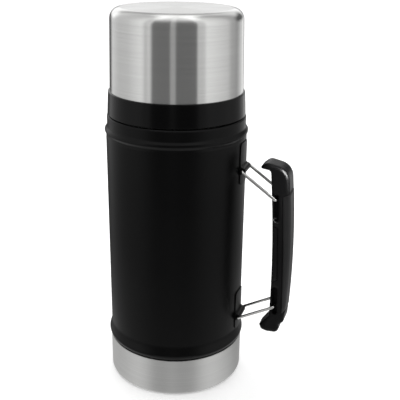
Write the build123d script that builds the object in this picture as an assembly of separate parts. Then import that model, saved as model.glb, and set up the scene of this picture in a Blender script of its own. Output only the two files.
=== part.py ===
from build123d import *
import os
from math import acos, cos, degrees, radians, sin

# Insulated food jar with a folding side handle.
# Frame: origin at the centre of the base on the jar's axis, +Z up, +X towards the handle. Millimetres.

# ------------------------------------------------------------------ driving dimensions

# jar body
body_radius = 52.0            # painted shell, outside
shell_wall = 0.8
shoulder_height = 209.6       # top face of the shell's shoulder above the table
neck_step_depth = 0.9         # how far the shell necks in above its upper bead
upper_bead_drop = 11.0        # from the shoulder down to the crest of the rolled bead
upper_bead_rise = 1.4
upper_bead_spread = 2.9       # from its crest up or down to its foot
upper_bead_round = 2.0
upper_bead_reach = 4.2        # from its crest down to where the straight wall begins
bead_groove_depth = 0.5       # groove between the bead and the straight wall
bead_groove_round = 0.8
lower_bead_rise = 2.0
lower_bead_reach = 6.6
lower_bead_round = 3.0
lower_bead_lip = 3.4          # crest of the lower bead above the steel base
bead_root_round = 1.5
bead_fade_round = 12.0        # where the lower bead's long flank dies into the shell
shoulder_round = 1.3
weld_gap = 0.05               # film between two parts that are welded or bonded

# steel base cup
base_height = 30.6
base_wall = 0.6
base_corner = 3.0
foot_ring_width = 6.0
foot_recess = 2.2
foot_round = 1.0
base_lip_gap = 0.4            # open line between the painted bead and the base cup

# vacuum vessel
vacuum_gap = 4.2
vessel_wall = 0.6
vessel_floor = 12.0
vessel_corner = 9.0
vessel_cone_round = 8.0
vessel_neck_drop = 14.0       # height of the cone between vessel and mouth
lip_rise = 17.0               # lip of the jar above the shoulder
lip_width = 3.2               # from the mouth out to the neck
lip_thickness = 0.8
closing_plate_height = 6.0
closing_plate_rim = 2.4
seal_dimple_radius = 6.0
seal_dimple_depth = 1.2
getter_radius = 8.0
getter_height = 2.6

# neck
neck_inset = 7.0              # from the shell in to the neck
neck_wall = 1.0
neck_tuck = 3.0               # how far the neck sleeve reaches below the shoulder

# lid
lid_height = 285.0            # top of the lid above the table
lid_wall = 0.8
lid_inset = 3.45              # from the shell in to the dome's rim
lid_draft = 1.5               # how much narrower the dome is at its top
lid_corner = 7.6
collar_gap = 0.6              # open line between the collar and the shoulder
collar_height = 16.7
collar_foot_inset = 1.4       # from the shell in to the collar's foot
collar_top_step = 1.2         # from the dome's rim out to the collar's top
collar_edge_round = 0.5
thread_space = 1.6            # between the neck and the inside of the collar
collar_ledge = 1.6            # ledge that carries the liner
collar_ledge_gap = 0.8        # between that ledge and the lip of the jar
collar_spigot = 7.0           # tongue between the dome and the liner
liner_inset = 3.75            # from the dome's rim in to the inside of the liner
liner_wall = 1.2
liner_roof_gap = 5.0          # from the top of the dome down to the liner
liner_corner = 8.0
fit_gap = 0.1                 # between pieces pressed into each other

# stopper
stopper_clearance = 0.5       # between the plug and the mouth
stopper_depth = 40.0          # plug below the lip
stopper_wall = 2.0
stopper_flange_inset = 1.0    # from the neck's outside in to the flange
stopper_flange = 2.5
gasket_height = 1.6
gasket_seat = 0.05
cover_height = 2.2            # disc of the stopper's cover
knob_radius = 24.0
knob_height = 11.0
knob_waist = 3.0              # depth of the finger scoops
knob_scoops = 8

# bail brackets, on the shell
upper_pivot_drop = 21.5       # from the upper end of the straight wall
lower_pivot_rise = 12.4       # from the lower end of the straight wall
pivot_stand_off = 1.4         # from the shell to the centre of the bail's rod
bracket_width = 16.4
bracket_height = 31.6
bracket_corner = 3.0
bracket_rise = 4.6            # centre of the strap above the pivot
bracket_wall = 0.65
knuckle_wall = 1.2
knuckle_root = 1.0            # how far its foot spreads beyond it on the strap
knuckle_round = 0.5

# bails
wire_radius = 1.1
pivot_clearance = 0.05        # radial, between rod and knuckle
bail_length = 32.0
bail_bend = 1.7
bail_side_gap = 0.8           # between the knuckle's end and a leg
bail_tip = 4.4                # how far a tip reaches into the handle
upper_bail_drop = 35.6        # below level, with the handle out
lower_bail_lift = 27.9        # above level

# handle, in its own plane: u away from the jar, v along the handle
handle_stand_off = 28.2       # from the shell to the middle of the handle
handle_drop = 1.75            # middle of the handle below the middle of the pivots
handle_tilt = 2.5             # the foot stands further out than the hook
handle_width = 17.2
handle_travel = 11.5          # how far the handle pushes in
hook_reach = 12.8             # hook tip, towards the jar
hook_over = 10.35             # top of the handle above the upper pivot
hook_thickness = 5.5
cap_drop = 4.2                # fall of the top face away from the jar
cap_round = 11.0
foot_reach = 12.7
foot_under = 5.95             # underside of the handle below the lower pivot
foot_thickness = 13.3
foot_tip_rise = 3.7
heel_reach = 3.4              # outer side of the foot
heel_round = 4.0
chin_rise = 10.1              # lower end of the outer face above the underside
chin_slant = 3.5
chin_round = 3.0
inner_top = 3.3               # inner face below the hook, towards the jar
inner_bottom = 4.3
inner_middle = 2.0
outer_top = 9.9               # outer face, away from the jar
outer_bottom = 7.2
outer_middle = 11.2
middle_height = 9.0           # where both faces bow out furthest
tip_width = 8.4               # width left at the very tips of hook and foot
taper_lead = 0.4              # how far outside the flanks the tapers to the tips begin
flank_round = 1.8
inner_round = 1.2
grip_round = 3.0
grip_below_top = 24.8         # from the handle's top down to the grip's seam
grip_above_foot = 17.4        # from the underside up to the grip's seam
grip_top_cut = 4.5            # slant of the grip's upper end
grip_heel_cut = 11.0          # slant of its lower end
grip_seam = 5.9               # where the soft grip starts, at its ends
grip_seam_bow = 0.6
grip_swell = 0.35
cover_margin = 38.95          # from a pivot's height in to the end of the cover
cover_slant = 5.0
cover_depth = 2.3
cover_gap = 0.3               # open seam round the cover
slot_clearance = 0.35         # beside the bail's tip over its travel
slot_end_gap = 3.0            # beyond it at both ends
slot_tail = 3.0               # how far each slot runs on towards the foot
slot_floor_gap = 0.4

# ------------------------------------------------------------------ sizes worked out from these

base_radius = body_radius + weld_gap + base_wall
lower_bead_height = base_height + lower_bead_lip
upper_bead_height = shoulder_height - upper_bead_drop
vessel_radius = body_radius - shell_wall - vacuum_gap
neck_radius = body_radius - neck_inset
mouth_radius = neck_radius - lip_width
lip_height = shoulder_height + lip_rise
lid_rim_radius = body_radius - lid_inset
collar_foot_radius = body_radius - collar_foot_inset
collar_top_radius = lid_rim_radius + collar_top_step
collar_thread_radius = neck_radius + thread_space
liner_radius = lid_rim_radius - liner_inset
collar_foot = shoulder_height + collar_gap
collar_top = collar_foot + collar_height
stopper_radius = mouth_radius - stopper_clearance
stopper_flange_radius = neck_radius - stopper_flange_inset
stopper_floor = lip_height - stopper_depth
flange_base = lip_height + gasket_seat + gasket_height
flange_top = flange_base + stopper_flange
upper_pivot_height = upper_bead_height - upper_bead_reach - upper_pivot_drop
lower_pivot_height = lower_bead_height + lower_bead_reach + lower_pivot_rise
pivot_radius = body_radius + pivot_stand_off
knuckle_radius = wire_radius + pivot_clearance + knuckle_wall
leg_offset = bracket_width / 2 + bail_side_gap + wire_radius
handle_reach = body_radius + handle_stand_off
handle_mid_height = (upper_pivot_height + lower_pivot_height) / 2 - handle_drop
handle_half = (upper_pivot_height - lower_pivot_height) / 2
hook_height = handle_half + hook_over
foot_depth = handle_half + foot_under
cover_reach = handle_half - cover_margin
half_width = handle_width / 2


def revolved(outline):
    """Turn a closed outline in the XZ plane about the jar's axis."""
    return revolve(Plane.XZ * outline, Axis.Z)


def ring(outer, inner, low, high):
    """A plain ring about the jar's axis."""
    tube = Cylinder(outer, high - low, align=(Align.CENTER, Align.CENTER, Align.MIN))
    if inner > 0:
        tube -= Cylinder(inner, high - low, align=(Align.CENTER, Align.CENTER, Align.MIN))
    return Pos(0, 0, low) * tube


def drawn(points, rounds, wall, side=Side.LEFT):
    """Thin drawn wall of revolution: a line with rounded corners, thickened to one side."""
    line = FilletPolyline(*points, radius=rounds)
    return revolved(make_face(offset(Wire(line.edges()), wall, side=side)))


def turned(points, rounds):
    """Full body of revolution under a line with rounded corners that ends on the axis."""
    line = FilletPolyline(*points, radius=rounds)
    closing = Polyline(points[-1], (0, points[0][1]), points[0])
    return revolved(make_face(line.edges() + closing.edges()))


def closest(shapes, point):
    """The vertex or edge nearest a point."""
    return min(shapes, key=lambda shape: (shape.center() - Vector(*point)).length)


# ------------------------------------------------------------------ jar body

def outer_shell():
    """Drawn steel shell with a rolled bead at each end and a shoulder that necks in to the mouth."""
    step_radius = body_radius - neck_step_depth
    points = [
        (body_radius, closing_plate_height),
        (body_radius, base_height),
        (body_radius + lower_bead_rise, lower_bead_height),
        (body_radius, lower_bead_height + lower_bead_reach),
        (body_radius, upper_bead_height - upper_bead_reach),
        (body_radius - bead_groove_depth, upper_bead_height - upper_bead_spread),
        (body_radius + upper_bead_rise, upper_bead_height),
        (step_radius, upper_bead_height + upper_bead_spread),
        (step_radius, shoulder_height),
        (neck_radius + weld_gap, shoulder_height),
    ]
    rounds = [
        bead_root_round, lower_bead_round, bead_fade_round,
        lower_bead_round, bead_groove_round, upper_bead_round, bead_root_round, shoulder_round,
    ]
    return drawn(points, rounds, shell_wall)


def base_cup():
    """Brushed steel cup over the shell's lower end, standing on a ring round a raised middle."""
    foot_inner = base_radius - base_corner - foot_ring_width
    points = [
        (base_radius, base_height - base_lip_gap),
        (base_radius, 0),
        (foot_inner, 0),
        (foot_inner - foot_recess, foot_recess),
        (0, foot_recess),
    ]
    return drawn(points, [base_corner, foot_round, foot_round], base_wall, Side.RIGHT)


def closing_plate():
    """Disc that closes the vacuum space, with the dimple it was pumped and sealed through."""
    radius = body_radius - shell_wall - weld_gap
    low = closing_plate_height
    plate = ring(radius, 0, low + closing_plate_rim - shell_wall, low + closing_plate_rim)
    plate += ring(radius, radius - shell_wall, low, low + closing_plate_rim)
    top = low + closing_plate_rim
    dimple = Pos(0, 0, top - seal_dimple_depth) * Cone(
        seal_dimple_radius - seal_dimple_depth, seal_dimple_radius, seal_dimple_depth,
        align=(Align.CENTER, Align.CENTER, Align.MIN),
    )
    boss = Pos(0, 0, -shell_wall) * dimple
    return plate + boss - dimple


def getter():
    """Ring-shaped getter capsule under the vessel's floor, which keeps the vacuum."""
    top = vessel_floor - weld_gap
    return ring(getter_radius, getter_radius / 2, top - getter_height, top)


def inner_vessel():
    """Drawn steel vessel that holds the food, necked in to the mouth and rolled over the lip."""
    mouth = mouth_radius + vessel_wall
    neck_foot = shoulder_height - neck_tuck - vessel_wall
    points = [
        (0, vessel_floor),
        (vessel_radius, vessel_floor),
        (vessel_radius, neck_foot - vessel_neck_drop),
        (mouth, neck_foot),
        (mouth, lip_height),
    ]
    vessel = drawn(points, [vessel_corner, vessel_cone_round, vessel_cone_round], vessel_wall)
    lip = ring(neck_radius, mouth_radius, lip_height - lip_thickness, lip_height)
    lip = fillet(lip.edges().group_by(Axis.Z)[-1], lip_thickness / 3)
    return vessel + lip


def neck_sleeve():
    """Steel sleeve between the shell's shoulder and the lip, which the lid screws on to."""
    low = shoulder_height - neck_tuck
    high = lip_height - lip_thickness
    sleeve = ring(neck_radius, neck_radius - neck_wall, low, high)
    foot_top = shoulder_height - shell_wall - weld_gap
    foot = ring(neck_radius + neck_wall, neck_radius - neck_wall, low, foot_top)
    return sleeve + foot


# ------------------------------------------------------------------ lid

def lid_shell():
    """Steel dome of the lid, slightly narrower towards its flat top."""
    points = [(lid_rim_radius, collar_top), (lid_rim_radius - lid_draft, lid_height), (0, lid_height)]
    return drawn(points, [lid_corner], lid_wall)


def liner_points(grow=0.0):
    """Line of the liner from its rim over the roof to the axis, inside or grown outwards."""
    rim = lip_height + collar_ledge_gap + collar_ledge
    roof = lid_height - lid_wall - liner_roof_gap + grow
    return [(liner_radius + grow, rim), (liner_radius - lid_draft + grow, roof), (0, roof)]


def lid_liner():
    """Smooth plastic bowl inside the lid, which serves as a cup."""
    outside = turned(liner_points(liner_wall), [liner_corner + liner_wall])
    return outside - turned(liner_points(), [liner_corner])


def lid_foam():
    """Foam that fills the lid between the dome and the liner, above the collar's tongue."""
    inset = lid_wall + fit_gap
    roof = lid_height - inset
    points = [(lid_rim_radius - inset, collar_top), (lid_rim_radius - inset - lid_draft, roof), (0, roof)]
    foot = lip_height + collar_ledge_gap + collar_ledge + collar_spigot
    space = liner_wall + fit_gap
    foam = turned(points, [lid_corner - inset]) - turned(liner_points(space), [liner_corner + space])
    return foam & ring(lid_rim_radius, 0, foot, lid_height)


def lid_collar():
    """Plastic band that screws over the neck and carries the dome and the liner."""
    ledge_top = lip_height + collar_ledge_gap + collar_ledge
    ledge_foot = ledge_top - collar_ledge
    lean = lid_draft * collar_spigot / (lid_height - collar_top)
    spigot_outer = lid_rim_radius - lid_wall - fit_gap - lean
    spigot_inner = liner_radius + liner_wall + fit_gap
    outline = Polyline(
        (collar_thread_radius, collar_foot), (collar_foot_radius, collar_foot),
        (collar_top_radius, collar_top - fit_gap), (spigot_outer, collar_top - fit_gap),
        (spigot_outer, ledge_top + collar_spigot - fit_gap),
        (spigot_inner, ledge_top + collar_spigot - fit_gap), (spigot_inner, ledge_top - fit_gap),
        (liner_radius, ledge_top - fit_gap), (liner_radius, ledge_foot),
        (collar_thread_radius, ledge_foot), (collar_thread_radius, collar_foot),
    )
    collar = revolved(make_face(outline.edges()))
    edges = collar.edges().filter_by(GeomType.CIRCLE)
    rims = [edge for edge in edges if edge.radius > spigot_outer + fit_gap]
    return fillet(rims, collar_edge_round)


# ------------------------------------------------------------------ stopper

def stopper_body():
    """Hollow plug in the mouth, with the flange that hangs on the lip."""
    plug = ring(stopper_radius, stopper_radius - stopper_wall, stopper_floor, flange_top)
    plug += ring(stopper_radius - fit_gap, 0, stopper_floor, stopper_floor + stopper_wall)
    plug += ring(stopper_flange_radius, stopper_radius - stopper_wall, flange_base, flange_top)
    foot = plug.edges().filter_by(GeomType.CIRCLE).group_by(Axis.Z)[0]
    return chamfer(foot.sort_by(SortBy.RADIUS)[-1], stopper_wall / 2)


def stopper_foam():
    """Foam puck inside the plug."""
    return ring(
        stopper_radius - stopper_wall - fit_gap, 0, stopper_floor + stopper_wall, flange_top - fit_gap,
    )


def stopper_gasket():
    """Silicone ring between the flange and the lip."""
    gasket = ring(stopper_flange_radius, stopper_radius + fit_gap, lip_height + gasket_seat, flange_base)
    return fillet(gasket.edges().filter_by(GeomType.CIRCLE).sort_by(SortBy.RADIUS)[-2:], gasket_height / 3)


def stopper_cover():
    """Cover of the stopper, with a scooped knob to turn it by."""
    disc = ring(stopper_flange_radius, 0, flange_top, flange_top + cover_height)
    disc = fillet(disc.edges().group_by(Axis.Z)[-1], cover_height / 3)
    top = flange_top + cover_height + knob_height
    knob = ring(knob_radius, 0, flange_top + cover_height / 2, top)
    scoop = ring(knob_radius, 0, flange_top + cover_height, top)
    scoops = PolarLocations(2 * knob_radius - knob_waist, knob_scoops)
    for place in scoops:
        knob -= place * scoop
    knob = fillet(knob.edges().group_by(Axis.Z)[-1], knob_waist / 3)
    return disc + knob


# ------------------------------------------------------------------ bail brackets

def bracket(pivot_height):
    """Strap welded to the shell, with a formed knuckle that the bail's rod turns in."""
    inner = body_radius + weld_gap
    outer = inner + bracket_wall
    centre = pivot_height + bracket_rise
    low = centre - bracket_height
    band = ring(outer, inner, low, centre + bracket_height)
    outline = Plane.YZ * RectangleRounded(bracket_width, bracket_height, bracket_corner)
    strap = band & (Pos(0, 0, centre) * extrude(outline, amount=2 * outer))
    root = knuckle_radius + knuckle_root
    skirt = Polyline(
        (body_radius, pivot_height - root), (pivot_radius, pivot_height - knuckle_radius),
        (pivot_radius, pivot_height + knuckle_radius), (body_radius, pivot_height + root),
        close=True,
    )
    side = Plane.XZ * (make_face(skirt.edges()) + Pos(pivot_radius, pivot_height) * Circle(knuckle_radius))
    knuckle = extrude(side, amount=bracket_width / 2, both=True)
    rims = [edge for edge in knuckle.edges() if abs(edge.center().Y) > bracket_width / 2 - fit_gap]
    free = [edge for edge in rims if edge.center().X > body_radius + fit_gap]
    knuckle = fillet(free, knuckle_round) - ring(inner, 0, low, centre + bracket_height)
    eye = Rot(90, 0, 0) * Cylinder(wire_radius + pivot_clearance, 2 * bracket_width)
    return strap + knuckle - Pos(pivot_radius, 0, pivot_height) * eye


# ------------------------------------------------------------------ bails

def bail(pivot_height, angle):
    """Steel wire bent into a U: a rod through the knuckle, two legs, and tips that turn in."""
    tip_end = half_width - bail_tip
    path = FilletPolyline(
        (bail_length, -tip_end), (bail_length, -leg_offset), (0, -leg_offset),
        (0, leg_offset), (bail_length, leg_offset), (bail_length, tip_end),
        radius=bail_bend,
    )
    section = Plane(path @ 0, z_dir=path % 0) * Circle(wire_radius)
    wire = sweep(section, path=path)
    return Pos(pivot_radius, 0, pivot_height) * Rot(0, -angle, 0) * wire


def folded_angle(angle):
    """Angle of a bail from level when the handle is pushed in."""
    return degrees(acos(cos(radians(angle)) - handle_travel / bail_length))


def tip_range(pivot_height, angle, side):
    """Box, in the handle's plane, that a bail's tip sweeps as the handle travels."""
    steps = 8
    end = folded_angle(angle)
    us, vs = [], []
    tilt = radians(handle_tilt)
    for step in range(steps + 1):
        share = step / steps
        turn = radians(angle + share * (end - angle))
        reach = pivot_radius + bail_length * cos(turn) + share * handle_travel - handle_reach
        rise = pivot_height + side * bail_length * sin(turn) - handle_mid_height
        us.append(reach * cos(tilt) + rise * sin(tilt))
        vs.append(rise * cos(tilt) - reach * sin(tilt))
    return min(us), max(us), min(vs), max(vs)


# ------------------------------------------------------------------ handle

def in_place(shape):
    """From the handle's own plane to its place beside the jar."""
    return Pos(handle_reach, 0, handle_mid_height) * Rot(0, -handle_tilt, 0) * shape


def handle_outline():
    """Side view of the whole handle: bowed faces, a hook at the top and a foot at the bottom."""
    underside = hook_height - hook_thickness
    hook_root = (-inner_top, underside)
    hook_tip = (-hook_reach, underside + inner_round / 2)
    hook_crest = (-hook_reach / 2, hook_height)
    cap = (outer_top, hook_height - cap_drop)
    chin = (outer_bottom, chin_rise - foot_depth)
    heel_top = (heel_reach, chin_rise - chin_slant - foot_depth)
    heel = (heel_reach, -foot_depth)
    sole_end = (-foot_reach + foot_tip_rise / 2, -foot_depth)
    foot_tip = (-foot_reach, -foot_depth + foot_tip_rise)
    arch = (-inner_bottom, foot_thickness - foot_depth)
    lines = ThreePointArc(arch, (-inner_middle, middle_height), hook_root)
    lines += Polyline(hook_root, hook_tip, hook_crest, cap)
    lines += ThreePointArc(cap, (outer_middle, middle_height), chin)
    lines += Polyline(chin, heel_top, heel, sole_end, foot_tip, arch)
    face = make_face(lines.edges())
    rounds = {
        hook_root: 2 * inner_round, hook_tip: inner_round, hook_crest: cap_round / 2, cap: cap_round,
        chin: chin_round, heel: heel_round, sole_end: 2 * inner_round, foot_tip: inner_round,
        arch: 2 * inner_round,
    }
    for (u, v), radius in rounds.items():
        face = fillet(closest(face.vertices(), (u, v, 0)), radius)
    return face


def slab(face, width):
    """Extrude a side view of the handle to a width, about its middle."""
    return extrude(Plane.XZ * face, amount=width / 2, both=True)


def taper():
    """Wedge that narrows one flank in a curve towards the tips of hook and foot."""
    shoulder = (0, half_width + taper_lead)
    nose = (-hook_reach - taper_lead, tip_width / 2)
    lines = TangentArc([shoulder, nose], tangent=(-1, 0))
    lines += Polyline(nose, (nose[0], handle_width), (shoulder[0], handle_width), shoulder)
    length = hook_height + foot_depth
    return Pos(0, 0, -length) * extrude(make_face(lines.edges()), amount=2 * length)


def handle_form():
    """The whole handle as one solid, before it is split into its pieces."""
    form = slab(handle_outline(), handle_width)
    rims = [edge for edge in form.edges() if abs(edge.center().Y) > half_width - fit_gap]
    form = fillet(rims, flank_round)
    wedges = [taper(), mirror(taper(), Plane.XZ)]
    narrowed = form - wedges[0] - wedges[1]
    return fillet(new_edges(form, *wedges, combined=narrowed), inner_round)


def grip_zone():
    """Side view of the space the soft grip takes, open to the outer side."""
    outside = outer_top + grip_seam
    seam_top = (grip_seam, hook_height - grip_below_top)
    seam_bottom = (grip_seam, grip_above_foot - foot_depth)
    lines = ThreePointArc(seam_bottom, (grip_seam + grip_seam_bow, middle_height), seam_top)
    lines += Polyline(
        seam_top, (outside, seam_top[1] + grip_top_cut),
        (outside, seam_bottom[1] + grip_heel_cut), seam_bottom,
    )
    return make_face(lines.edges())


def cover_zone(gap=0.0):
    """Side view of the space the inner cover takes, or of the cover inside it."""
    outside = -inner_bottom - inner_middle
    reach = cover_reach - gap
    depth = cover_depth - gap
    return make_face(
        Polyline(
            (outside, reach + cover_slant), (depth, reach),
            (depth, -reach), (outside, -reach - cover_slant), close=True,
        ).edges()
    )


def tip_slot(pivot_height, angle, side):
    """Pair of blind slots, one from each flank, that a bail's tips slide in."""
    u_low, u_high, v_low, v_high = tip_range(pivot_height, angle, side)
    width = u_high - u_low + 2 * (wire_radius + slot_clearance)
    length = v_high - v_low + 2 * (wire_radius + slot_end_gap) + slot_tail
    middle = ((u_low + u_high) / 2, (v_low + v_high - slot_tail) / 2)
    face = Pos(*middle) * SlotOverall(length, width, rotation=90)
    floor = 2 * (half_width - bail_tip - slot_floor_gap)
    return slab(face, 2 * handle_width) - slab(face, floor)


def handle_frame():
    """Hard frame of the handle with its hook, foot and slots."""
    frame = handle_form() - slab(grip_zone(), 2 * handle_width) - slab(cover_zone(), 2 * handle_width)
    frame -= tip_slot(upper_pivot_height, upper_bail_drop, -1)
    frame -= tip_slot(lower_pivot_height, lower_bail_lift, 1)
    return in_place(frame)


def handle_grip():
    """Soft grip moulded over the outer side, a little proud of the frame."""
    side = offset(handle_outline(), grip_swell) & grip_zone()
    grip = slab(side, handle_width + 2 * grip_swell)
    rim = (outer_middle + grip_seam) / 2
    corners = [edge for edge in grip.edges() if edge.length > handle_half and edge.center().X > rim]
    return in_place(fillet(corners, grip_round))


def handle_cover():
    """Cover on the inner side, between the slots."""
    return in_place(handle_form() & slab(cover_zone(cover_gap), 2 * handle_width))


# ------------------------------------------------------------------ every node, by name

nodes = {
    "outer_shell": outer_shell(),
    "base_cup": base_cup(),
    "closing_plate": closing_plate(),
    "getter": getter(),
    "inner_vessel": inner_vessel(),
    "neck_sleeve": neck_sleeve(),
    "lid_shell": lid_shell(),
    "lid_liner": lid_liner(),
    "lid_foam": lid_foam(),
    "lid_collar": lid_collar(),
    "stopper_body": stopper_body(),
    "stopper_foam": stopper_foam(),
    "stopper_gasket": stopper_gasket(),
    "stopper_cover": stopper_cover(),
    "upper_bracket": bracket(upper_pivot_height),
    "lower_bracket": bracket(lower_pivot_height),
    "upper_bail": bail(upper_pivot_height, -upper_bail_drop),
    "lower_bail": bail(lower_pivot_height, lower_bail_lift),
    "handle_frame": handle_frame(),
    "handle_grip": handle_grip(),
    "handle_cover": handle_cover(),
}

os.makedirs("parts", exist_ok=True)
for name, shape in nodes.items():
    export_step(shape, f"parts/{name}.step")
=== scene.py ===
from math import cos, pi, radians, sin

import bpy
from mathutils import Matrix, Vector


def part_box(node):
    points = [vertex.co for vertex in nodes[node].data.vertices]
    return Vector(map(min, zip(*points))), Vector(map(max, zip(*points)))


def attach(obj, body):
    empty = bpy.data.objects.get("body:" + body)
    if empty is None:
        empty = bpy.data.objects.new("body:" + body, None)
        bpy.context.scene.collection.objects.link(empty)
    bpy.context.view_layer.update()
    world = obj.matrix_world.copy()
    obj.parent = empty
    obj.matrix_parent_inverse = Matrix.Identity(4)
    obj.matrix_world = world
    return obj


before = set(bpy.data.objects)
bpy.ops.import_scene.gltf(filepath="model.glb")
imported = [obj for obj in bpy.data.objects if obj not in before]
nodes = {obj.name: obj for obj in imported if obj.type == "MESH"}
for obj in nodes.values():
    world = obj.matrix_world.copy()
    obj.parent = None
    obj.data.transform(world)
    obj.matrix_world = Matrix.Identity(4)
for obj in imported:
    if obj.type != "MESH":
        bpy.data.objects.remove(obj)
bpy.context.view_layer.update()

# Insulated food jar: finishes, threads, floor, light and camera. Metres, +Z up, +X towards the handle.

# ------------------------------------------------------------------ sizes read from the frame

jar_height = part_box("lid_shell")[1].z
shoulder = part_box("outer_shell")[1].z
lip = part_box("neck_sleeve")[1].z
collar_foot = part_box("lid_collar")[0].z
plug_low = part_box("stopper_body")[0].z


def radii(name, low, high):
    """Distances from the jar's axis to the corners of a part that lie between two heights."""
    hair = 0.0001
    points = [vertex.co for vertex in nodes[name].data.vertices]
    return [point.xy.length for point in points if low - hair < point.z < high + hair]


# ------------------------------------------------------------------ building materials

def material(name):
    """A new material with its Principled shader."""
    made = bpy.data.materials.new(name)
    made.use_nodes = True
    return made, made.node_tree.nodes["Principled BSDF"]


def add(made, kind, **values):
    """A node of a material or world, with its properties set and its inputs filled or linked."""
    tree = made.node_tree
    node = tree.nodes.new(kind)
    for key, value in values.items():
        if key.startswith("in_"):
            socket = node.inputs[int(key[3:])]
            if isinstance(value, bpy.types.NodeSocket):
                tree.links.new(value, socket)
            else:
                socket.default_value = value
        else:
            setattr(node, key, value)
    return node


def join(made, source, target):
    made.node_tree.links.new(source, target)


def maths(made, operation, a, b=0.0):
    """One step of arithmetic on one or two values."""
    return add(made, "ShaderNodeMath", operation=operation, in_0=a, in_1=b).outputs[0]


def between(made, value, low, high):
    """A noise value spread over a range."""
    spread = add(made, "ShaderNodeMapRange", in_0=value, in_1=0.3, in_2=0.7, in_3=low, in_4=high)
    return spread.outputs[0]


def noise(made, vector, scale, detail=2.0, roughness=0.5):
    texture = add(made, "ShaderNodeTexNoise", in_0=vector, in_2=scale, in_3=detail, in_4=roughness)
    return texture.outputs["Fac"]


def tint(made, factor, dark, light):
    """A colour between two, by a factor."""
    mix = add(made, "ShaderNodeMix", data_type="RGBA")
    join(made, factor, mix.inputs["Factor"])
    mix.inputs["A"].default_value = (*dark, 1)
    mix.inputs["B"].default_value = (*light, 1)
    return mix.outputs["Result"]


def bump(made, height, strength, distance, normal=None):
    made_bump = add(made, "ShaderNodeBump")
    made_bump.inputs["Strength"].default_value = strength
    made_bump.inputs["Distance"].default_value = distance
    join(made, height, made_bump.inputs["Height"])
    if normal:
        join(made, normal, made_bump.inputs["Normal"])
    return made_bump.outputs["Normal"]


def brushed_steel(name, colour, roughness, stretch, line_depth):
    """Steel brushed round the jar's axis, up the wall and over the top, in fine lines and streaks."""
    lines_across = 7000.0              # steps of the noise in a metre, across the lines and along them
    lines_along = 22.0
    made, shader = material(name)
    place = add(made, "ShaderNodeTexCoord").outputs["Object"]
    parts = add(made, "ShaderNodeSeparateXYZ", in_0=place)
    flat = add(made, "ShaderNodeCombineXYZ", in_0=parts.outputs[0], in_1=parts.outputs[1])
    radius = add(made, "ShaderNodeVectorMath", operation="LENGTH", in_0=flat.outputs[0]).outputs["Value"]
    along = maths(made, "SUBTRACT", parts.outputs[2], radius)
    across = maths(made, "MULTIPLY", along, lines_across)
    x = maths(made, "MULTIPLY", parts.outputs[0], lines_along)
    y = maths(made, "MULTIPLY", parts.outputs[1], lines_along)
    lines_at = add(made, "ShaderNodeCombineXYZ", in_0=x, in_1=y, in_2=across).outputs[0]
    fine = noise(made, lines_at, 1.0, 3.0, 0.65)
    streaks = noise(made, lines_at, 0.22, 2.0, 0.6)
    lines = maths(made, "MULTIPLY", maths(made, "ADD", fine, streaks), 0.5)
    clouds = noise(made, place, 18.0, 3.0, 0.55)
    shade = maths(made, "MULTIPLY", lines, clouds)
    dark = tuple(0.84 * part for part in colour)
    join(made, tint(made, between(made, lines, 0.0, 1.0), dark, colour), shader.inputs["Base Color"])
    join(made, between(made, maths(made, "ADD", shade, 0.25), roughness * 0.9, roughness * 1.12),
         shader.inputs["Roughness"])
    join(made, bump(made, lines, line_depth, 0.00002), shader.inputs["Normal"])
    tangent = add(made, "ShaderNodeTangent", direction_type="RADIAL", axis="Z")
    join(made, tangent.outputs[0], shader.inputs["Tangent"])
    shader.inputs["Metallic"].default_value = 1.0
    shader.inputs["Anisotropic"].default_value = stretch
    shader.inputs["Anisotropic Rotation"].default_value = 0.25
    return made


def powder_coat():
    """Satin black powder coat: a fine orange peel with faint unevenness in its gloss."""
    made, shader = material("black_powder_coat")
    place = add(made, "ShaderNodeTexCoord").outputs["Object"]
    peel = noise(made, place, 1500.0, 2.0, 0.5)
    grain = noise(made, place, 5200.0, 1.0, 0.5)
    clouds = noise(made, place, 25.0, 3.0, 0.6)
    colour = tint(made, between(made, grain, 0.0, 1.0), (0.0009, 0.0009, 0.001), (0.0016, 0.0016, 0.0017))
    join(made, colour, shader.inputs["Base Color"])
    join(made, between(made, clouds, 0.3, 0.36), shader.inputs["Roughness"])
    height = maths(made, "ADD", peel, grain)
    join(made, bump(made, height, 0.25, 0.00004), shader.inputs["Normal"])
    shader.inputs["Specular IOR Level"].default_value = 0.13
    return made


def moulded(name, colour, gloss, texture_scale, texture_depth, specular=0.5, edge=0.0003):
    """Moulded plastic or rubber with a fine spark-eroded texture and edges eased by a small radius."""
    made, shader = material(name)
    place = add(made, "ShaderNodeTexCoord").outputs["Object"]
    texture = noise(made, place, texture_scale, 2.0, 0.55)
    clouds = noise(made, place, 60.0, 2.0, 0.5)
    light = tuple(1.25 * part for part in colour)
    join(made, tint(made, between(made, clouds, 0.0, 1.0), colour, light), shader.inputs["Base Color"])
    join(made, between(made, texture, gloss * 0.94, gloss * 1.06), shader.inputs["Roughness"])
    eased = add(made, "ShaderNodeBevel", samples=8, in_0=edge).outputs[0]
    join(made, bump(made, texture, texture_depth, 0.00005, eased), shader.inputs["Normal"])
    shader.inputs["Specular IOR Level"].default_value = specular
    return made


def bright_wire():
    """Drawn and polished stainless wire, with faint marks along it."""
    made, shader = material("bright_wire")
    place = add(made, "ShaderNodeTexCoord").outputs["Object"]
    marks = noise(made, place, 900.0, 3.0, 0.6)
    join(made, tint(made, between(made, marks, 0.0, 1.0), (0.5, 0.5, 0.49), (0.62, 0.62, 0.61)),
         shader.inputs["Base Color"])
    join(made, between(made, marks, 0.03, 0.06), shader.inputs["Roughness"])
    join(made, bump(made, marks, 0.08, 0.00003), shader.inputs["Normal"])
    shader.inputs["Metallic"].default_value = 1.0
    return made


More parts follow.
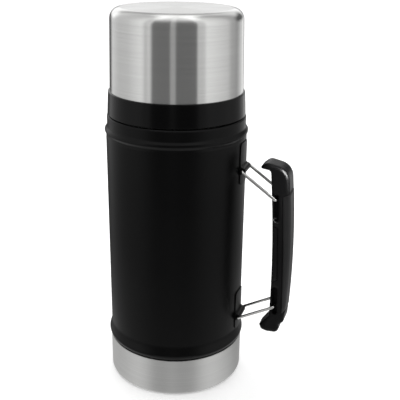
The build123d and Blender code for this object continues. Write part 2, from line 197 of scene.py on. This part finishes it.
def foamed():
    """Cut face of rigid insulating foam."""
    made, shader = material("rigid_foam")
    place = add(made, "ShaderNodeTexCoord").outputs["Object"]
    cells = add(made, "ShaderNodeTexVoronoi", in_0=place, in_2=1400.0).outputs["Distance"]
    join(made, tint(made, cells, (0.62, 0.55, 0.38), (0.85, 0.8, 0.62)), shader.inputs["Base Color"])
    join(made, bump(made, cells, 0.5, 0.0002), shader.inputs["Normal"])
    shader.inputs["Roughness"].default_value = 0.85
    return made


# ------------------------------------------------------------------ finishes of the jar's parts

lid_steel = brushed_steel("brushed_lid_steel", (0.68, 0.68, 0.67), 0.2, 0.95, 0.05)
base_steel = brushed_steel("brushed_base_steel", (0.7, 0.7, 0.69), 0.46, 0.85, 0.06)
inner_steel = brushed_steel("spun_inner_steel", (0.6, 0.6, 0.59), 0.3, 0.5, 0.1)
coat = powder_coat()
wire_steel = bright_wire()
collar_plastic = moulded("collar_plastic", (0.0011, 0.0011, 0.0012), 0.2, 2600.0, 0.08, 0.13)
frame_plastic = moulded("handle_frame_plastic", (0.0065, 0.0065, 0.0067), 0.28, 2200.0, 0.08, 0.07, 0.004)
grip_rubber = moulded("soft_grip_rubber", (0.0135, 0.0135, 0.0137), 0.42, 3200.0, 0.3, 0.3, 0.004)
liner_plastic = moulded("liner_plastic", (0.02, 0.02, 0.021), 0.35, 2400.0, 0.08)
stopper_plastic = moulded("stopper_plastic", (0.016, 0.016, 0.017), 0.45, 2400.0, 0.25)
silicone = moulded("gasket_silicone", (0.3, 0.3, 0.3), 0.5, 1800.0, 0.1, 0.4)
foam = foamed()

finish_of = {
    "outer_shell": coat, "upper_bracket": coat, "lower_bracket": coat,
    "base_cup": base_steel, "lid_shell": lid_steel,
    "inner_vessel": inner_steel, "neck_sleeve": inner_steel, "closing_plate": inner_steel,
    "getter": inner_steel,
    "upper_bail": wire_steel, "lower_bail": wire_steel,
    "lid_collar": collar_plastic, "handle_frame": frame_plastic, "handle_cover": frame_plastic,
    "handle_grip": grip_rubber,
    "lid_liner": liner_plastic, "stopper_body": stopper_plastic, "stopper_cover": stopper_plastic,
    "stopper_gasket": silicone, "lid_foam": foam, "stopper_foam": foam,
}
for name, finish in finish_of.items():
    slots = nodes[name].data.materials
    if slots:
        slots[0] = finish
    else:
        slots.append(finish)


# ------------------------------------------------------------------ threads

thread_pitch = 0.004
thread_fade = 1 / 6                # share of the first and last turn over which a ridge dies away
thread_end = 0.08                  # share of its rise that a ridge keeps at its very ends
lid_ridge = 0.0006                 # rise of the two ridges that hold the lid on the neck
lid_turns = 1.75
neck_thread_foot = 0.006           # above the shoulder
collar_thread_foot = 0.0045
plug_ridge = 0.00035
plug_turns = 2.0
plug_thread_foot = 0.016           # below the lip


def thread(name, body, radius, rise, low, turns, finish):
    """Rounded screw ridge that winds up round the jar's axis and dies away at both ends."""
    sides = 12
    steps = 72
    bpy.ops.object.select_all(action="DESELECT")
    bpy.ops.mesh.primitive_circle_add(vertices=sides, radius=thread_pitch / 4, location=(radius, 0, low),
                                      rotation=(pi / 2, 0, 0))
    ridge = bpy.context.object
    ridge.name = name
    bpy.ops.object.transform_apply(location=True, rotation=True, scale=True)
    bpy.ops.object.mode_set(mode="EDIT")
    bpy.ops.mesh.select_all(action="SELECT")
    flatten = 4 * rise / thread_pitch
    bpy.ops.transform.resize(value=(flatten, 1, 1), center_override=(radius, 0, low))
    bpy.ops.object.mode_set(mode="OBJECT")
    winding = ridge.modifiers.new("winding", "SCREW")
    winding.axis = "Z"
    winding.angle = 2 * pi * turns
    winding.screw_offset = thread_pitch * turns
    winding.steps = winding.render_steps = int(steps * turns)
    winding.use_merge_vertices = False
    bpy.ops.object.modifier_apply(modifier=winding.name)
    for vertex in ridge.data.vertices:
        turn = (vertex.index // sides) / steps
        share = min(turn, turns - turn) / thread_fade
        height = max(thread_end, min(1.0, share))
        away = vertex.co.xy.length - radius
        vertex.co.xy *= (radius + away * height) / vertex.co.xy.length
    bpy.ops.object.mode_set(mode="EDIT")
    bpy.ops.mesh.select_all(action="SELECT")
    bpy.ops.mesh.fill_holes(sides=0)
    bpy.ops.mesh.select_all(action="SELECT")
    bpy.ops.mesh.normals_make_consistent(inside=False)
    bpy.ops.object.mode_set(mode="OBJECT")
    bpy.ops.object.shade_smooth_by_angle(angle=radians(50))
    ridge.data.materials.append(finish)
    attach(ridge, body)


neck_radius = max(radii("neck_sleeve", shoulder, lip))
collar_radius = min(radii("lid_collar", collar_foot, lip))
plug_radius = max(radii("stopper_body", plug_low, lip))
thread("neck_thread", "jar", neck_radius, lid_ridge, shoulder + neck_thread_foot, lid_turns, inner_steel)
thread("collar_thread", "lid", collar_radius, lid_ridge, shoulder + collar_thread_foot, lid_turns,
       collar_plastic)
thread("stopper_thread", "stopper", plug_radius, plug_ridge, lip - plug_thread_foot, plug_turns,
       stopper_plastic)


# ------------------------------------------------------------------ floor and studio

def studio_floor():
    """Large white floor, seen and lit, but kept out of the metal's reflections."""
    bpy.ops.object.select_all(action="DESELECT")
    bpy.ops.mesh.primitive_circle_add(vertices=96, radius=6.0, fill_type="NGON", location=(0, 0, 0))
    floor = bpy.context.object
    floor.name = "studio_floor"
    bpy.ops.object.transform_apply(location=True, rotation=True, scale=True)
    made, shader = material("white_floor")
    place = add(made, "ShaderNodeTexCoord").outputs["Object"]
    grain = noise(made, place, 8.0, 2.0, 0.5)
    join(made, tint(made, between(made, grain, 0.0, 1.0), (0.93, 0.93, 0.93), (0.95, 0.95, 0.95)),
         shader.inputs["Base Color"])
    shader.inputs["Roughness"].default_value = 0.8
    shader.inputs["Specular IOR Level"].default_value = 0.1
    shader.inputs["Emission Color"].default_value = (1, 1, 1, 1)
    shader.inputs["Emission Strength"].default_value = 0.2
    floor.data.materials.append(made)
    floor.visible_glossy = False


# grey levels round the room, by degrees round from the camera's side
wall_levels = [
    (-180, 0.1), (-150, 0.12), (-140, 0.85), (-112, 0.74), (-90, 0.8), (-63, 1.1), (-58, 1.0),
    (-54, 0.72), (-46, 0.95), (-41, 0.2), (-12, 0.18), (-10, 0.5), (-3, 0.5), (-1, 0.17),
    (33, 0.18), (36, 0.85), (41, 0.76), (47, 0.86), (52, 1.14), (62, 1.08), (95, 0.82), (105, 0.58),
    (122, 0.45), (133, 0.7), (145, 1.0), (157, 1.0), (166, 0.1), (180, 0.1),
]
# how the walls fade, by degrees up, and the white floor's own levels
ceiling_levels = [
    (-90, 0.0), (-34, 0.06), (-26, 0.2), (-20, 0.42), (-14, 1.0), (32, 1.05), (60, 0.95), (90, 0.9),
]
floor_levels = [(-90, 0.95), (-48, 0.95), (-40, 0.9), (-33, 0.55), (-26, 0.08), (-20, 0.0)]
# the light behind the jar, by the same degrees round, where 180 is straight behind, and by degrees up
back_side_levels = [(-180, 1.0), (-150, 1.0), (-125, 0.0), (157, 0.0), (168, 1.0), (180, 1.0)]
back_end_levels = [(2, 0.0), (8, 1.25), (22, 1.25), (29, 0.42), (60, 0.42)]
# the black flag behind the handle's side, by the same two measures
flag_side_levels = [(115, 0.0), (128, 1.0), (150, 1.0), (162, 0.0)]
flag_end_levels = [(-3, 0.0), (3, 0.9), (16, 0.9), (26, 0.0)]
# the light overhead: where its sides, back and front fade from dark to bright, as shares of its height
overhead_width = (0.38, 0.2)
overhead_back = (-0.62, -0.42)
overhead_front = (1.8, 0.35)
overhead_level = 1.1
overhead_spread = 2.0              # how fast it widens towards the front

back_light_turn = radians(100.0)   # round from the handle, to the side away from the camera
back_light_distance = 0.5
back_light_height = 1.3

cap_edge_inset = Vector((-0.003, 0.002, -0.012))  # from the handle's outer top corner to its cap's edge
cap_strip_offset = Vector((0.036, -0.03, 0.022))

camera_turn = radians(20.0)        # the camera stands this far round from the jar's -Y side to the handle
camera_distance = 0.516477
camera_height = 0.336533
camera_pitch = radians(20.7305)
camera_yaw = radians(2.0007)
camera_roll = radians(0.8297)
camera_lens = 64.588               # millimetres, as cameras are described


def level_ramp(world, value, stops):
    """Grey levels along a value from 0 to 1, with the stops given as (position, level)."""
    ramp = add(world, "ShaderNodeValToRGB", in_0=value)
    elements = ramp.color_ramp.elements
    elements.remove(elements[0])
    for count, (position, level) in enumerate(stops):
        element = elements.new(position) if count else elements[0]
        element.position = position
        element.color = (level, level, level, 1)
    return ramp.outputs[0]


def ramp_round(world, share, levels):
    """Grey levels by degrees round."""
    return level_ramp(world, share, [(angle / 360 + 0.5, level) for angle, level in levels])


def ramp_up(world, height, levels):
    """Grey levels by degrees up."""
    return level_ramp(world, height, [(sin(radians(angle)) / 2 + 0.5, level) for angle, level in levels])


def studio_world():
    """Soft white room with a dark stretch in front, where the camera stands."""
    world = bpy.data.worlds.new("studio")
    world.use_nodes = True
    world.node_tree.nodes.clear()
    bpy.context.scene.world = world
    direction = add(world, "ShaderNodeTexCoord").outputs["Generated"]
    turned = add(world, "ShaderNodeMapping", vector_type="POINT", in_0=direction)
    turned.inputs["Rotation"].default_value = (0, 0, radians(90) - camera_turn)
    parts = add(world, "ShaderNodeSeparateXYZ", in_0=turned.outputs[0])
    azimuth = maths(world, "ARCTAN2", parts.outputs[1], parts.outputs[0])
    share = add(world, "ShaderNodeMapRange", in_0=azimuth, in_1=-pi, in_2=pi, in_3=0.0, in_4=1.0).outputs[0]
    walls = ramp_round(world, share, wall_levels)
    back_sides = ramp_round(world, share, back_side_levels)
    up = parts.outputs[2]
    height = add(world, "ShaderNodeMapRange", in_0=up, in_1=-1.0, in_2=1.0, in_3=0.0, in_4=1.0).outputs[0]
    ceiling = ramp_up(world, height, ceiling_levels)
    back_ends = ramp_up(world, height, back_end_levels)
    floor = ramp_up(world, height, floor_levels)
    flag_sides = ramp_round(world, share, flag_side_levels)
    flag_ends = ramp_up(world, height, flag_end_levels)
    unflagged = maths(world, "SUBTRACT", 1.0, maths(world, "MULTIPLY", flag_sides, flag_ends))
    walls = maths(world, "MULTIPLY", walls, unflagged)
    room = maths(world, "ADD", maths(world, "MULTIPLY", walls, ceiling), floor)
    back = maths(world, "MULTIPLY", back_sides, back_ends)
    rise = maths(world, "MAXIMUM", up, 0.01)
    forward = maths(world, "DIVIDE", parts.outputs[0], rise)
    widening = maths(world, "MULTIPLY", maths(world, "MAXIMUM", forward, 0.0), overhead_spread)
    aside = maths(world, "DIVIDE", maths(world, "ABSOLUTE", parts.outputs[1]), rise)
    aside = maths(world, "DIVIDE", aside, maths(world, "ADD", widening, 1.0))
    panel = overhead_level
    for away, (dark, bright), power in (
        (aside, overhead_width, 1.0), (forward, overhead_back, 1.0), (forward, overhead_front, 2.0),
    ):
        fade = add(world, "ShaderNodeMapRange", in_0=away, in_1=dark, in_2=bright, in_3=0.0, in_4=1.0)
        panel = maths(world, "MULTIPLY", maths(world, "POWER", fade.outputs[0], power), panel)
    light = maths(world, "ADD", maths(world, "ADD", room, back), panel)
    studio = add(world, "ShaderNodeBackground", in_0=light, in_1=1.0)
    plain = add(world, "ShaderNodeBackground", in_0=(1, 1, 1, 1), in_1=1.0)
    seen = add(world, "ShaderNodeLightPath").outputs["Is Camera Ray"]
    mixed = add(world, "ShaderNodeMixShader", in_0=seen, in_1=studio.outputs[0], in_2=plain.outputs[0])
    output = add(world, "ShaderNodeOutputWorld")
    join(world, mixed.outputs[0], output.inputs[0])


def softbox(name, place, target, size, power):
    """Rectangular area light aimed at a point and kept out of the reflections."""
    lamp = bpy.data.lights.new(name, "AREA")
    lamp.shape = "RECTANGLE"
    lamp.size, lamp.size_y = size
    lamp.energy = power
    light = bpy.data.objects.new(name, lamp)
    bpy.context.scene.collection.objects.link(light)
    light.location = place
    light.rotation_euler = (target - place).to_track_quat("-Z", "Y").to_euler()
    light.visible_glossy = False
    return light


def back_light():
    """Broad soft light from high behind the jar."""
    away = Vector((cos(back_light_turn), sin(back_light_turn), 0))
    place = back_light_distance * away + Vector((0, 0, back_light_height))
    softbox("back_light", place, Vector((0, 0, jar_height / 2)), (1.2, 1.2), 10.0)


def cap_strip():
    """Small strip by the handle's cap, which lights the handle's frame alone, as a streak on its edge."""
    low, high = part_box("handle_frame")
    edge = Vector((high.x, low.y, high.z)) + cap_edge_inset
    strip = softbox("cap_strip", edge + cap_strip_offset, edge, (0.07, 0.06), 0.32)
    strip.data.spread = radians(60)
    strip.visible_glossy = True
    strip.visible_diffuse = False
    strip.visible_camera = False
    lit = bpy.data.collections.new("handle_frame_alone")
    lit.objects.link(nodes["handle_frame"])
    strip.light_linking.receiver_collection = lit


def studio_camera():
    """Camera with a long lens, a little above the jar and turned slightly off its axis."""
    data = bpy.data.cameras.new("camera")
    data.sensor_width = 36.0
    data.lens = camera_lens
    camera = bpy.data.objects.new("camera", data)
    bpy.context.scene.collection.objects.link(camera)
    place = Matrix.Rotation(camera_turn, 4, "Z") @ Matrix.Translation((0, -camera_distance, camera_height))
    turn = Matrix.Rotation(-camera_yaw, 4, "Z") @ Matrix.Rotation(radians(90) - camera_pitch, 4, "X")
    camera.matrix_world = place @ turn @ Matrix.Rotation(camera_roll, 4, "Z")
    bpy.context.scene.camera = camera


studio_floor()
studio_world()
studio_camera()
back_light()
cap_strip()
bpy.context.scene.view_settings.view_transform = "Standard"
